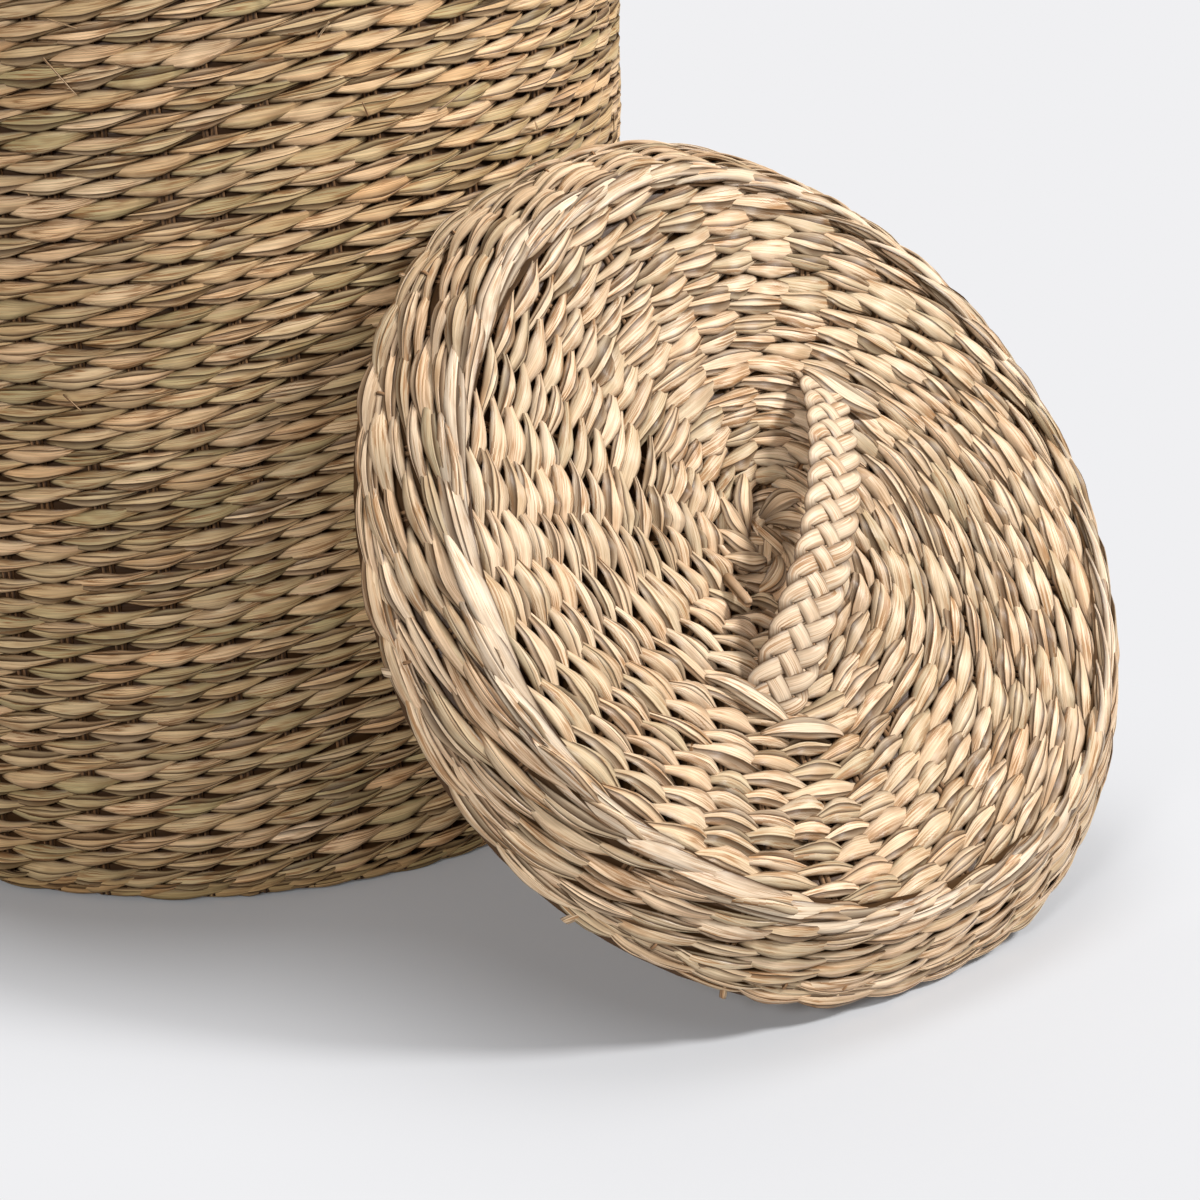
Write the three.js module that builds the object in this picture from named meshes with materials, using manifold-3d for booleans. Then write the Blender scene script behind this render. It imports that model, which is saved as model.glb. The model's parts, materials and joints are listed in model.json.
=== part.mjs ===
// A tall round lidded basket twined from seagrass, in millimetres, +Z up.
// The origin is the middle of the flat underside of the basket's base.
// +X is to the right and +Y away from someone who faces the basket.
// The lid stands on its lower edge in front and to the right, and leans back on the wall.
import * as THREE from "three";
import { mergeVertices } from "three/addons/utils/BufferGeometryUtils.js";
import Module from "manifold-3d";

// Weave
const rowPitch = 8;
const facets = 40;
const clearance = 0.3;

// Basket
const footRadius = 182.8;
const wallDraw = 2.1;
const wallThickness = 8;
const baseThickness = 7;
const baseCentreRadius = 62;
const footHeight = 8;
const footRounding = 3.5;
const courseBands = 9;
const rowsPerBand = 6;
const rowGroove = 1.6;
const neckRows = 4;
const rimRadius = 165;
const rimHeight = 8;
const rimThickness = 9;
const rimRounding = 2.5;

// Lid
const lidCrestRadius = 152;
const lidBorderRadius = 177.65;
const lidDepth = 30.4;
const lidDish = 22;
const lidDishPower = 1.3;
const lidRowGroove = 1.3;
const lidTopThickness = 6;
const lidSideThickness = 7;
const lidRingEnds = [32, 56, 88, 128, 144];
const crestDrop = 5;
const crestRounding = 2.2;
const borderHeight = 6.5;
const borderBack = 9.2;

// Handle strap on the lid
const handleSpan = 147;
const handleRise = 8;
const handleWidth = 26;
const handleThickness = 4.5;
const handleTail = 11;
const handleTurn = THREE.MathUtils.degToRad(52.9);
const handleCentre = new THREE.Vector2(6.6, -0.8);
const handleSteps = 16;
const slotLength = 9;

// Cut stake end that stands out of the lid's weave beside the handle
const stakeRadius = 2.2;
const stakeLength = 13;
const stakeDistance = 29.5;
const stakeBearing = THREE.MathUtils.degToRad(198);
const stakeHeading = THREE.MathUtils.degToRad(257);
const stakeLean = THREE.MathUtils.degToRad(55);

// How the lid stands beside the basket
const lidBackLean = THREE.MathUtils.degToRad(35.93);
const lidFacing = THREE.MathUtils.degToRad(31.45);
const lidBearing = THREE.MathUtils.degToRad(44.6);

const wallTop = footHeight + courseBands * rowsPerBand * rowPitch;
const fullTurn = 2 * Math.PI;

const bodyStraw = { color: 0xa8946c, roughness: 0.75, metalness: 0 };
const darkStraw = { color: 0x94805a, roughness: 0.8, metalness: 0 };
const lidStraw = { color: 0xc8b084, roughness: 0.7, metalness: 0 };
const paleStraw = { color: 0xd8c49a, roughness: 0.65, metalness: 0 };
const stakeBrown = { color: 0x9a6b3c, roughness: 0.8, metalness: 0 };

const basket = new THREE.Group();
const lid = new THREE.Group();

function piece(parent, name, geometry, finish) {
  const mesh = new THREE.Mesh(geometry, new THREE.MeshStandardMaterial(finish));
  mesh.name = name;
  parent.add(mesh);
  return mesh;
}

// A solid of revolution about Z from a list of [radius, height] corners, outside upwards.
function turned(corners) {
  const outline = corners.map(([radius, height]) => new THREE.Vector2(radius, height));
  const closes = corners[0][0] > 0 || corners[corners.length - 1][0] > 0;
  if (closes) {
    outline.push(outline[0].clone());
  }
  const geometry = new THREE.LatheGeometry(outline, facets);
  geometry.rotateX(Math.PI / 2);
  geometry.rotateZ(Math.PI / facets);
  return geometry;
}

// An outer face of weft rows between two points of a section: each row is proud at its middle,
// and a groove parts it from the next one.
function rowFace(start, end, groove) {
  const length = Math.hypot(end[0] - start[0], end[1] - start[1]);
  const rows = Math.max(1, Math.round(length / rowPitch));
  const corners = [];
  for (let step = 0; step <= 2 * rows; step += 1) {
    const share = step / (2 * rows);
    const sunk = step % 2 === 0 ? groove : 0;
    corners.push([
      start[0] + (end[0] - start[0]) * share - sunk,
      start[1] + (end[1] - start[1]) * share,
    ]);
  }
  return corners;
}

function wallRadius(height) {
  return footRadius - wallDraw * height / wallTop;
}

function addBase() {
  const centre = [
    [0, 0],
    [baseCentreRadius, 0],
    [baseCentreRadius, baseThickness],
    [0, baseThickness],
  ];
  piece(basket, "base_centre_weave", turned(centre), darkStraw);
  const inner = baseCentreRadius + clearance;
  const outer = footRadius - wallThickness - clearance;
  const ring = [
    [inner, 0],
    [outer, 0],
    [outer, baseThickness],
    [inner, baseThickness],
  ];
  piece(basket, "base_outer_weave", turned(ring), darkStraw);
}

function addFoot() {
  const inner = footRadius - wallThickness;
  const corners = [
    [inner, 0],
    [footRadius - footRounding, 0],
    [wallRadius(footRounding), footRounding],
    [wallRadius(footHeight), footHeight],
    [inner, footHeight],
  ];
  piece(basket, "foot_courses", turned(corners), darkStraw);
}

// One band of weft rows: a straight inner face and an outer face of rows.
function bandCorners(bottom, top) {
  const lower = wallRadius(bottom);
  const upper = wallRadius(top);
  return [
    [lower - wallThickness, bottom],
    ...rowFace([lower, bottom], [upper, top], rowGroove),
    [upper - wallThickness, top],
  ];
}

function addWall() {
  const bandHeight = rowsPerBand * rowPitch;
  for (let band = 0; band < courseBands; band += 1) {
    const bottom = footHeight + band * bandHeight;
    const name = `wall_courses_${band + 1}`;
    piece(basket, name, turned(bandCorners(bottom, bottom + bandHeight)), bodyStraw);
  }
}

// The wall's last courses draw in, so that the lid's edge can slip over the rim.
function addNeckAndRim() {
  const lower = wallRadius(wallTop);
  const upper = rimRadius - rimRounding + rowGroove;
  const neckTop = wallTop + neckRows * rowPitch;
  const rimInner = rimRadius - rimThickness;
  const neck = [
    [lower - wallThickness, wallTop],
    ...rowFace([lower, wallTop], [upper, neckTop], rowGroove),
    [upper - wallThickness, neckTop],
  ];
  piece(basket, "neck_courses", turned(neck), bodyStraw);
  const top = neckTop + rimHeight;
  const rim = [
    [rimInner + rimRounding, neckTop],
    [rimRadius - rimRounding, neckTop],
    [rimRadius, neckTop + rimRounding],
    [rimRadius, top - rimRounding],
    [rimRadius - rimRounding, top],
    [rimInner + rimRounding, top],
    [rimInner, top - rimRounding],
    [rimInner, neckTop + rimRounding],
  ];
  piece(basket, "rim_border", turned(rim), bodyStraw);
}

// Height of the lid's top face, which sags towards its middle, below its crest.
function dishHeight(radius) {
  return -lidDish * (1 - (radius / lidCrestRadius) ** lidDishPower);
}

// The section of one ring of the lid's top, with its rows proud of the grooves between them.
function lidRing(inner, outer) {
  const rows = Math.max(1, Math.round((outer - inner) / rowPitch));
  const corners = [
    [inner, dishHeight(inner) - lidTopThickness],
    [outer, dishHeight(outer) - lidTopThickness],
  ];
  for (let step = 2 * rows; step >= 0; step -= 1) {
    const radius = inner + (outer - inner) * step / (2 * rows);
    const sunk = step % 2 === 0 ? lidRowGroove : 0;
    corners.push([radius, dishHeight(radius) - sunk]);
  }
  return corners;
}

// A point on the lid's slanting side, at a depth below the crest and inside its outer face.
function sidePoint(depth, inset) {
  const run = lidBorderRadius - lidCrestRadius;
  const slant = Math.hypot(run, lidDepth);
  const radius = lidCrestRadius + run * depth / lidDepth;
  return [radius - inset * lidDepth / slant, -depth - inset * run / slant];
}

// The bottom of the groove above or below a row of the side.
function sideGroove(depth) {
  const [radius, height] = sidePoint(depth, 0);
  return [radius - lidRowGroove, height];
}

function addCrest() {
  const inner = lidRingEnds[lidRingEnds.length - 1] + clearance;
  const corners = [
    [inner, dishHeight(inner) - lidTopThickness],
    sidePoint(crestDrop, lidSideThickness),
    sideGroove(crestDrop),
    sidePoint(crestRounding, 0),
    [lidCrestRadius - crestRounding, 0],
    [inner + crestRounding, 0],
    [inner, dishHeight(inner) - lidRowGroove],
  ];
  piece(lid, "lid_crest_wale", turned(corners), paleStraw);
}

function addSide() {
  const upper = crestDrop + clearance;
  const lower = lidDepth - borderHeight - clearance;
  const corners = [
    sidePoint(upper, lidSideThickness),
    sidePoint(lower, lidSideThickness),
    ...rowFace(sidePoint(lower, 0), sidePoint(upper, 0), lidRowGroove),
  ];
  piece(lid, "lid_side_courses", turned(corners), lidStraw);
}

function addBorder() {
  const upper = lidDepth - borderHeight;
  const corners = [
    sidePoint(upper, lidSideThickness),
    [lidBorderRadius - borderBack, -lidDepth],
    [lidBorderRadius, -lidDepth],
    sidePoint((upper + lidDepth) / 2, 0),
    sideGroove(upper),
  ];
  piece(lid, "lid_border", turned(corners), lidStraw);
}

// The outline of a flat strip of even thickness along a centre line in its plane.
function stripOutline(line, thickness) {
  const left = [];
  const right = [];
  line.forEach((point, index) => {
    const before = line[Math.max(index - 1, 0)];
    const after = line[Math.min(index + 1, line.length - 1)];
    const arriving = point.clone().sub(before);
    const leaving = after.clone().sub(point);
    const first = (index === 0 ? leaving : arriving).normalize();
    const last = (index === line.length - 1 ? arriving : leaving).normalize();
    const along = first.clone().add(last).normalize();
    const reach = thickness / 2 / along.dot(first);
    left.push(new THREE.Vector2(point.x - along.y * reach, point.y + along.x * reach));
    right.push(new THREE.Vector2(point.x + along.y * reach, point.y - along.x * reach));
  });
  return left.concat(right.reverse());
}

// Height of the lid's top face under a point of the strap, at a distance from the strap's middle.
function heightUnderStrap(way) {
  const x = handleCentre.x + way * Math.cos(handleTurn);
  const y = handleCentre.y + way * Math.sin(handleTurn);
  return dishHeight(Math.hypot(x, y));
}

// Half of the strap's centre line, from its tail under the lid, up a leg and along the arch.
function halfHandleLine(side) {
  const foot = side * (handleSpan / 2 - handleThickness / 2);
  const ground = heightUnderStrap(foot);
  const drop = lidTopThickness + clearance + handleThickness / 2;
  const tailEnd = foot + side * handleTail;
  const half = [
    new THREE.Vector2(tailEnd, heightUnderStrap(tailEnd) - drop),
    new THREE.Vector2(foot, ground - drop),
  ];
  for (let step = 0; step < handleSteps / 2; step += 1) {
    const share = 1 - 2 * step / handleSteps;
    const height = handleRise + (ground - handleRise) * share ** 2;
    half.push(new THREE.Vector2(foot * share, height));
  }
  return half;
}

function handleLine() {
  const crown = new THREE.Vector2(0, handleRise);
  return [...halfHandleLine(1), crown, ...halfHandleLine(-1).reverse()];
}

// Turns a geometry made along X to the strap's direction and moves it to the strap's middle.
function placeAtHandle(geometry) {
  geometry.rotateZ(handleTurn);
  geometry.translate(handleCentre.x, handleCentre.y, 0);
  return geometry;
}

function extrudedStrip(outline, width) {
  const geometry = new THREE.ExtrudeGeometry(new THREE.Shape(outline), {
    depth: width,
    bevelEnabled: false,
  });
  geometry.translate(0, 0, -width / 2);
  geometry.rotateX(Math.PI / 2);
  return placeAtHandle(geometry);
}

function addHandle() {
  const outline = stripOutline(handleLine(), handleThickness);
  piece(lid, "handle_strap", extrudedStrip(outline, handleWidth), paleStraw);
}

function solidOf(wasm, geometry) {
  const bare = geometry.clone();
  bare.deleteAttribute("normal");
  bare.deleteAttribute("uv");
  const merged = mergeVertices(bare, 1e-4);
  return new wasm.Manifold(new wasm.Mesh({
    numProp: 3,
    vertProperties: new Float32Array(merged.attributes.position.array),
    triVerts: new Uint32Array(merged.index.array),
  }));
}

function geometryOf(solid) {
  const mesh = solid.getMesh();
  const geometry = new THREE.BufferGeometry();
  const corners = new Float32Array(mesh.vertProperties);
  geometry.setAttribute("position", new THREE.BufferAttribute(corners, 3));
  geometry.setIndex(new THREE.BufferAttribute(new Uint32Array(mesh.triVerts), 1));
  geometry.computeVertexNormals();
  return geometry;
}

// The slot through which one leg of the strap passes.
function slotCutter(side) {
  const foot = side * (handleSpan / 2 - handleThickness / 2);
  const cutter = new THREE.BoxGeometry(
    slotLength,
    handleWidth + 2 * clearance,
    4 * lidTopThickness,
  );
  cutter.translate(foot, 0, heightUnderStrap(foot));
  return placeAtHandle(cutter);
}

function addLidTop(wasm) {
  const centre = lidRingEnds[0];
  piece(lid, "lid_centre_weave", turned(lidRing(0, centre)), lidStraw);
  const names = ["inner", "middle", "outer", "edge"];
  names.forEach((name, index) => {
    const inner = lidRingEnds[index] + clearance;
    const outer = lidRingEnds[index + 1];
    const foot = handleSpan / 2;
    let geometry = turned(lidRing(inner, outer));
    if (inner < foot && foot < outer) {
      const slots = [-1, 1].map((side) => solidOf(wasm, slotCutter(side)));
      const cut = solidOf(wasm, geometry).subtract(slots[0]).subtract(slots[1]);
      geometry = geometryOf(cut);
    }
    piece(lid, `lid_${name}_weave`, geometry, lidStraw);
  });
}

function addStakeEnd() {
  const geometry = new THREE.CylinderGeometry(stakeRadius, stakeRadius, stakeLength, 8);
  geometry.translate(0, stakeLength / 2, 0);
  geometry.rotateX(Math.PI / 2);
  geometry.rotateY(stakeLean);
  geometry.rotateZ(stakeHeading);
  const stake = piece(lid, "lid_stake_end", geometry, stakeBrown);
  const seat = dishHeight(stakeDistance) + clearance + stakeRadius * Math.sin(stakeLean);
  const along = new THREE.Vector3(Math.cos(stakeBearing), Math.sin(stakeBearing), 0);
  stake.position.copy(along.multiplyScalar(stakeDistance));
  stake.position.z = seat;
}

// The lid's frame for a distance of its crest's centre from the basket's axis.
function lidFrame(distance) {
  const flat = lidBorderRadius * Math.cos(Math.PI / facets);
  const matrix = new THREE.Matrix4().makeRotationZ(lidFacing);
  matrix.multiply(new THREE.Matrix4().makeRotationX(Math.PI / 2 - lidBackLean));
  matrix.setPosition(
    distance * Math.sin(lidBearing),
    -distance * Math.cos(lidBearing),
    flat * Math.cos(lidBackLean) + lidDepth * Math.sin(lidBackLean),
  );
  return matrix;
}

// The least distance between the lid's border and the basket's wall.
function leanGap(distance) {
  const matrix = lidFrame(distance);
  const samples = 720;
  let least = Infinity;
  for (let index = 0; index < samples; index += 1) {
    const angle = fullTurn * index / samples;
    const point = new THREE.Vector3(
      lidBorderRadius * Math.cos(angle),
      lidBorderRadius * Math.sin(angle),
      -lidDepth,
    ).applyMatrix4(matrix);
    least = Math.min(least, Math.hypot(point.x, point.y) - wallRadius(point.z));
  }
  return least;
}

// Moves the lid in until its border rests against the wall.
function leaningFrame() {
  let near = footRadius;
  let far = footRadius + 2 * lidBorderRadius;
  for (let step = 0; step < 40; step += 1) {
    const middle = (near + far) / 2;
    if (leanGap(middle) < clearance) {
      near = middle;
    } else {
      far = middle;
    }
  }
  return lidFrame(far);
}

const wasm = await Module();
wasm.setup();

addBase();
addFoot();
addWall();
addNeckAndRim();
addLidTop(wasm);
addCrest();
addSide();
addBorder();
addHandle();
addStakeEnd();

leaningFrame().decompose(lid.position, lid.quaternion, lid.scale);
basket.add(lid);

export default basket;
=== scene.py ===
"""A tall lidded basket twined from seagrass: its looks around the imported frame, in metres.

The weave is real geometry. In every row two strands, or three on the crest and the rim, cross
between the stakes. Each strand is a folded leaf: one section, swept along a path by Weave.ribbon.
Lengths in the values below are in millimetres unless a comment says otherwise, and MM turns them
into metres. Olive and light tell how far a leaf's colour goes to olive and to pale, from 0 to 1.
"""

import json
import math

import bpy
import numpy as np
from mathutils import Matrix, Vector


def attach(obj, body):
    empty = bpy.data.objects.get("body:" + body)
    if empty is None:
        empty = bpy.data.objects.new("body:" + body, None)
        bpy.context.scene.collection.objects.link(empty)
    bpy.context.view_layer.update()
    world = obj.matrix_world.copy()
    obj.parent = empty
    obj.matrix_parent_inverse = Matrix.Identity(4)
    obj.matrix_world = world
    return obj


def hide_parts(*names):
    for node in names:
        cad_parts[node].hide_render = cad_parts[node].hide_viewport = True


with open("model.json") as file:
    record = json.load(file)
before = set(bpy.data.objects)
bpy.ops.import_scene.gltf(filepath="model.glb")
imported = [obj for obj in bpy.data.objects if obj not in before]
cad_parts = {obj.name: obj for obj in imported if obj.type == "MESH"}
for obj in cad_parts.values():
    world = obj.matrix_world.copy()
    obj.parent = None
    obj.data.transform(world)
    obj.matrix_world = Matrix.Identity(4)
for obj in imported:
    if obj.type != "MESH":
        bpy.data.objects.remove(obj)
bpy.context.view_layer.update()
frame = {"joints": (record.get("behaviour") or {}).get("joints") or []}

MM = 0.001
TURN = 2 * math.pi
UP = np.array([0.0, 0.0, 1.0])

# Basket, as in the CAD source
ROW_PITCH = 8.0
FOOT_RADIUS = 182.8
FOOT_HEIGHT = 8.0
WALL_DRAW = 2.1
ROWS_PER_BAND = 6
BANDS = 9
NECK_ROWS = 4
RIM_RADIUS = 165.0
RIM_HEIGHT = 8.0
BASE_THICKNESS = 7.0
BASE_CENTRE_RADIUS = 62.0
WALL_TOP = FOOT_HEIGHT + BANDS * ROWS_PER_BAND * ROW_PITCH
NECK_TOP = WALL_TOP + NECK_ROWS * ROW_PITCH
HEIGHT = NECK_TOP + RIM_HEIGHT

# Rows and stakes of the basket, which the CAD source leaves out. Base stakes: up to which radius,
# and how many. Foot rows and the rim: inset from the outer radius, height and tilt in radians.
WALL_STAKES = 54
STAKE_TWIST = -0.0865
STAKE_UNEVEN = 0.07
WALL_INSET = 0.15
LOW_ROWS_SHADE = 0.16
NECK_INSET = 0.9
BASE_ROWS = 21
BASE_EDGE_RADIUS = 171.0
BASE_LIFT = 1.0
BASE_STAKES = ((8, 6), (30, 12), (62, 20), (110, 30), (200, WALL_STAKES))
FOOT_ROW = (5.2, 6.9, -0.35)
FOOT_EDGE_ROW = (4.6, 4.1, -0.2)
RIM_ROW = (3.6, HEIGHT - 6.4, math.radians(50))

# Lid, as in the CAD source
LID_CREST_RADIUS = 152.0
LID_BORDER_RADIUS = 177.65
LID_DEPTH = 30.4
LID_DISH = 22.0
LID_DISH_POWER = 1.3
LID_RING_ENDS = (32, 56, 88, 128, 144)
LID_RING_NAMES = ("centre", "inner", "middle", "outer", "edge")
LID_BACK_LEAN = math.radians(35.93)
LID_FACETS = 40
SIDE_RUN = LID_BORDER_RADIUS - LID_CREST_RADIUS
SIDE_LENGTH = math.hypot(SIDE_RUN, LID_DEPTH)
SIDE_TILT = math.atan2(SIDE_RUN, LID_DEPTH)

# Rows and stakes of the lid. Lid stakes: up to which radius, and how many. Side rows: how far down
# the slanting side. Border rows: how far down, how far in, and their turn in radians.
LID_ROWS = 18
LID_WEAVE_OFFSET = 5.0
LID_OFFSET_RADIUS = 110
LID_STAKES = ((16, 6), (28, 8), (42, 14), (84, 20), (104, 30), (200, 40))
LID_TWIST = 0.0011
HEART_RADIUS = 24
# Painted shade towards the lid's middle: how much less pale a row gets, and out to which radius
HEART_SHADE = 0.4
SHADED_RADIUS = 50
LIP_RADIUS = 147.0
LIP_TILT = 1.9
CREST_STAKES = 39
CREST_TILT = 1.1
CREST_INSET = 0.6
CREST_DROP = 1.5
SIDE_STAKES = 40
SIDE_TWIST = 0.0006
SIDE_ROWS = (8.2, 14.9, 21.6, 28.0)
BORDER_ROWS = ((31.4, 3.2, 0.02), (33.8, 2.7, 0.05), (36.0, 2.5, 0.022))
BORDER_LEAN = 0.1

# How the photographed lid is out of round: a swell and three lobes beyond a radius, and the spot
# where it leans on the wall and keeps its true radius
LID_SWELL = 1.6
LID_LOBES = 2.2
LID_LOBE_TURN = math.radians(-35)
LID_ROUND_RADIUS = 95.0
LID_WALL_TURN = math.radians(105)
LID_WALL_FOCUS = 34.0

# Handle, leaves over its ends (start, end, bow, half breadth) and broken stake on the lid
HANDLE_CENTRE = (6.6, -0.8)
HANDLE_FOOT = 71.25
HANDLE_RISE = 8.0
HANDLE_TAIL = 11.0
HANDLE_TURN = math.radians(52.9)
HANDLE_STEP = 1.3
TUCK_RUN = 5
TUCK_DROP = 6.5
TAIL_DROP = 8.2
PLAIT_STRANDS = 4
PLAIT_REACH = (11.2, 9.4)
PLAIT_PERIOD = 42.0
PLAIT_TURNS = (0, 0.25, 0.5, 0.75, 1, 1.25, 1.5, 1.75, 2)
PLAIT_DEPTHS = (0, -1, 1, -1, 0, 1, -1, 1, 0)
COVER_LEAVES = (
    ((46, 65), (73, 39), -2.5, 5.8), ((-59, -40), (-32, -69), 2.0, 4.8),
    ((-46, -67), (-10, -77), 1.5, 4.6),
)
STUB_DISTANCE = 29.5
STUB_BEARING = math.radians(198)
STUB_HEADING = math.radians(257)
STUB_LEAN = math.radians(55)
STUB_RADIUS = 2.2
STUB_LENGTH = 13.0

# How thick a strand is, how it moves between two stakes and what its tones are
# A strand gets painted shade where it dives behind, up to the strength that its look gives
PAIR = dict(
    strands=2, rings=10, depth=3.0, start=-1.75, bow=-0.3, end=2.1, half=3.9, waist=1.1, thick=1.0,
    waist_thick=0.9, roll=0.45, sway=0.35, spread=0.1, stray=0.05, backing=4.6, shade_behind=1.0,
)
WALL = dict(PAIR, olive=0.36, light=0.45)
NECK = dict(PAIR, olive=0.4, light=0.45)
BASE = dict(
    PAIR, rings=6, depth=1.8, thick=0.9, half=4.1, waist=1.8, start=-2.2, end=2.4, olive=0.45,
    light=0.4,
)
FOOT = dict(PAIR, half=3.7, olive=0.5, light=0.35)
FOOT_EDGE = dict(
    PAIR, depth=1.4, thick=0.8, start=-0.9, bow=-0.2, end=1.0, half=2.6, waist=1.5, roll=0.1,
    sway=0.15, stray=0.0, backing=3.0, olive=0.5, light=0.3,
)
LID = dict(
    PAIR, start=-2.4, bow=1.5, end=2.0, half=4.8, waist=1.3, thick=1.4, waist_thick=1.0, roll=0.3,
    sway=0.55, spread=0.15, stray=0.09, backing=5.0, olive=0.24, light=0.58,
)
HEART = dict(LID, start=-3.4, bow=1.4, end=3.3, half=5.2, waist=2.6)
LIP = dict(LID, start=-1.6, bow=0.3, end=1.4, half=3.8, waist=1.6)
CREST = dict(
    strands=3, rings=10, depth=2.6, start=-2.5, bow=0.3, end=2.8, half=4.5, waist=1.2, thick=1.4,
    waist_thick=0.8, roll=0.22, sway=0.5, spread=0.14, stray=0.1, backing=6.5, shade_behind=0.8, olive=0.1,
    light=0.9,
)
RIM = dict(CREST, half=4.4, waist=2.0, start=-2.8, end=3.2, olive=0.35, light=0.5)
SIDE = dict(
    PAIR, start=-2.4, bow=-0.4, end=2.6, half=3.6, waist=0.9, depth=2.6, roll=0.3, sway=0.5,
    spread=0.16, stray=0.09, backing=5.0, olive=0.25, light=0.5,
)
BORDER = dict(
    PAIR, start=0.9, bow=-1.3, end=1.3, half=2.7, waist=0.8, depth=1.5, thick=0.85,
    waist_thick=0.7, roll=0.2, sway=0.5, spread=0.22, stray=0.12, backing=3.2, olive=0.3, light=0.5,
)

# From the middle of a grain to its hidden turn: how far forward it lies and how broad it is
GRAIN_PLACES = (0.0, 0.12, 0.25, 0.35, 0.42, 0.46, 0.5)
GRAIN_FRONT = (1.0, 0.92, 0.5, 0.1, -0.35, -0.75, -1.0)
GRAIN_BREADTH = (1.0, 0.83, 0.55, 0.28, 0.06, 0.25, 0.8)
CLIMB_PLACES = (-0.5, -0.44, -0.25, 0.25, 0.44, 0.5)
TIP_REACH = 1.65
FULL_SPACING = 14.0
LEFT_LAYERS = (0, 0, -0.45, 0.35, -0.3)
RIGHT_LAYERS = (0, 0, -0.45, 0.35, -0.55)
DULL_TONE = (0.3, 0.2)

# Loose fibres on the wall: angle in degrees and height of both ends, and how many more there are
WALL_FIBRES = (
    (-107.3, 338, -103.6, 325), (-106.5, 352, -103.0, 349), (-60.8, 239, -58.0, 231),
    (-107.6, 212, -105.4, 206),
)
MORE_FIBRES = 70

# A leaf's section: nine points on its front and three behind, in three layers that creases part
SECTION_POINTS = 12
SECTION_LAYER = np.array([0, 0, 0, 1, 1, 1, 2, 2, 2, 2, 1, 0])
SECTION_BULGE = np.array([1, 1, 1, 1, 1, 1, 1, 1, 1, -0.9, -0.9, -0.9])
SECTION_EDGES = (0, 2, 3, 5, 6, 8)
EDGE_PLACE = 0.82
BACK_PLACE = 0.55
CREASE_GAP = 0.035
# Painted shade: on a crease's lower side, full from this step up, on the leaf's edges,
# next to them, and on its back
DEEP_CREASE = 0.3
EDGE_SHADE = 1.0
NEAR_EDGE_SHADE = 0.4
BACK_SHADE = 0.3

# UV maps: how far apart strands lie in the leaf map, and the strips and margins of the bake map
LEAF_SHIFT = 7.7
BAKE_STRIP_RINGS = 96
BAKE_MARGIN = (0.01, 0.03)
CAP_SPOT = (0.004, 0.5)
CAP_RADIUS = 0.003

# Straw colours (linear), roughness and strength of the fibres
# The last colour browns patches, specks and lines and, darker still, gives the painted shade
STRAWS = {
    "wall": dict(
        name="wall_straw", warm=(0.74, 0.46, 0.235), pale=(0.90, 0.645, 0.40),
        olive=(0.50, 0.385, 0.19), brown_and_shade=(0.27, 0.12, 0.04), roughness=0.46, fibre=0.18),
    "base": dict(
        name="base_straw", warm=(0.58, 0.33, 0.14), pale=(0.70, 0.45, 0.22),
        olive=(0.42, 0.31, 0.14), brown_and_shade=(0.22, 0.11, 0.045), roughness=0.55, fibre=0.18),
    "lid": dict(
        name="lid_straw", warm=(0.755, 0.51, 0.31), pale=(0.875, 0.675, 0.47),
        olive=(0.585, 0.465, 0.29), brown_and_shade=(0.36, 0.17, 0.06), roughness=0.38, fibre=0.15),
    "pale": dict(
        name="pale_straw", warm=(0.75, 0.55, 0.37), pale=(0.90, 0.725, 0.535),
        olive=(0.63, 0.52, 0.355), brown_and_shade=(0.40, 0.20, 0.08), roughness=0.38, fibre=0.13),
    "stake": dict(
        name="stake_reed", warm=(0.33, 0.16, 0.065), pale=(0.52, 0.29, 0.14),
        olive=(0.28, 0.19, 0.10), brown_and_shade=(0.12, 0.06, 0.03), roughness=0.6, fibre=0.3),
}

# Noises of the straw: stretch, detail and seed. Ranges: from, to, and what they become.
FIBRE_NOISE = ((0.045, 2.2, 1), 3.0, 1.0)
THREAD_NOISE = ((0.02, 5.5, 1), 1.0, 5.0)
PATCH_NOISE = ((0.05, 0.16, 1), 2.0, 9.0)
SPECK_NOISE = ((0.9, 1.6, 1), 1.0, 17.0)
LINE_NOISE = ((0.03, 0.75, 1), 2.0, 23.0)
BROWN_RANGE = (0.56, 0.78, 0.0, 0.45)
SPECK_RANGE = (0.74, 0.82, 0.0, 0.6)
LINE_RANGE = (0.0, 0.09, 1.0, 0.0)
LINED_RANGE = (0.35, 0.65, 0.9, 0.15)
# How dark the painted shade is, as a share of the straws' last colour
PAINTED_SHADE_DARKNESS = 0.2
GLOSS = 0.2
BUMP_STRENGTH = 0.5
BUMP_DEPTH = 0.35

# Floor, backdrop and lamps, in metres. Fades: where the floor's shadows show, and how far round.
# Lamps: name, place, aim, size and watts.
BACKDROP = (0.871, 0.871, 0.888, 1)
WORLD_LIGHT = (0.175, 0.174, 0.177, 1)
FLOOR_REACH = 6.0
FLOOR_COLOUR = (0.575, 0.58, 0.595, 1)
FLOOR_LEAST_GLOW = 0.07
FLOOR_FADES = (((0, 0, 0), 0.16, 0.38), ((0.22, -0.22, 0), 0.06, 0.30))
LAMPS = (
    ("key", (1.7, -0.74, 1.57), (0.1, -0.1, 0.22), 0.5, 53),
    ("top", (0.1, 0.3, 2.1), (0.1, -0.1, 0.2), 1.0, 13),
    ("front", (-0.85, -1.95, 1.15), (0.0, -0.15, 0.2), 0.45, 21),
    ("back", (-1.2, 1.9, 1.5), (0.0, 0.0, 0.25), 1.2, 26),
)

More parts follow.
